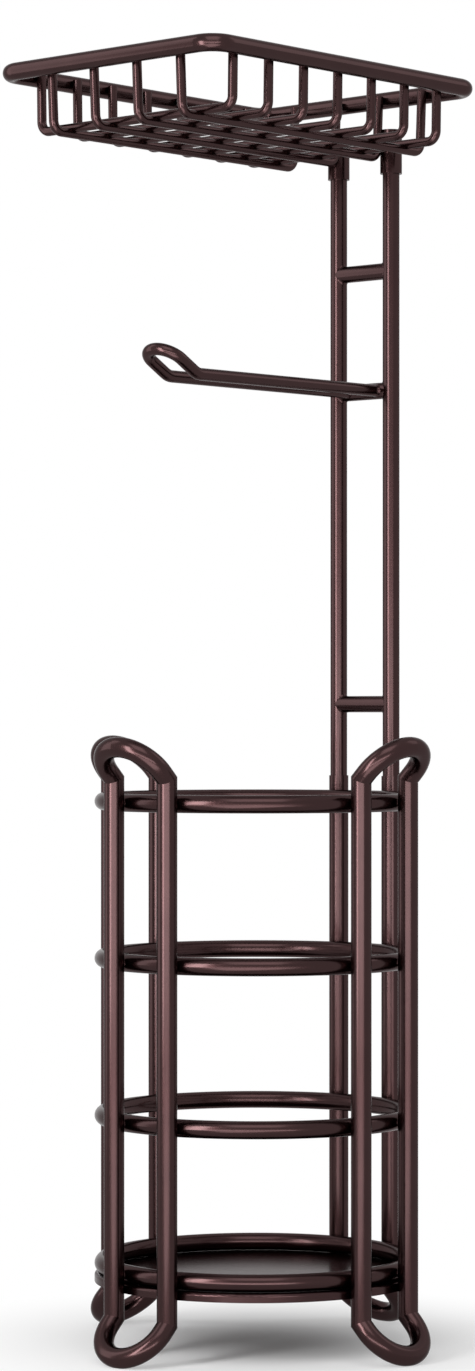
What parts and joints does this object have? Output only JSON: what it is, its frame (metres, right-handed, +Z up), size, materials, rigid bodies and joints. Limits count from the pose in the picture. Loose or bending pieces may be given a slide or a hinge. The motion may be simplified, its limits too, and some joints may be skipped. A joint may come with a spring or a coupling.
{
  "type": "toilet roll storage holder",
  "caption": "Free-standing dark bronze stand with a round open cage for spare toilet rolls, a hairpin arm for the roll in use and a wire basket shelf on slim posts.",
  "frame": {"origin": "on the floor, in the middle of the stand's outline seen from above", "axes": "+Z up; +X from the cage towards the posts, so the roll arm points to -X; +Y towards the back leg"},
  "size_m": [0.213, 0.2058, 0.6224],
  "materials": {
    "bronze_coat": "glossy dark brown bronze coat on steel"
  },
  "bodies": {
    "cage": {"left_leg": "bronze_coat", "front_leg": "bronze_coat", "back_leg": "bronze_coat", "post_leg": "bronze_coat", "top_ring": "bronze_coat", "upper_ring": "bronze_coat", "lower_ring": "bronze_coat", "base_ring": "bronze_coat", "base_plate": "bronze_coat"},
    "upper_frame": {"front_post": "bronze_coat", "back_post": "bronze_coat", "lower_crossbar": "bronze_coat", "arm_crossbar": "bronze_coat", "upper_crossbar": "bronze_coat", "roll_arm": "bronze_coat"},
    "shelf": {"shelf_rim": "bronze_coat", "long_wire_1": "bronze_coat", "long_wire_2": "bronze_coat", "long_wire_3": "bronze_coat", "long_wire_4": "bronze_coat", "cross_wire_1": "bronze_coat", "cross_wire_2": "bronze_coat", "cross_wire_3": "bronze_coat", "cross_wire_4": "bronze_coat", "cross_wire_5": "bronze_coat", "cross_wire_6": "bronze_coat", "cross_wire_7": "bronze_coat", "front_socket": "bronze_coat", "back_socket": "bronze_coat"}
  },
  "joints": [
    {"name": "upper_frame_lift", "type": "slide", "parent": "cage", "child": "upper_frame", "axis": [0, 0, 1], "range_m": [0, 0.04]},
    {"name": "shelf_lift", "type": "slide", "parent": "upper_frame", "child": "shelf", "axis": [0, 0, 1], "range_m": [0, 0.0208]}
  ]
}
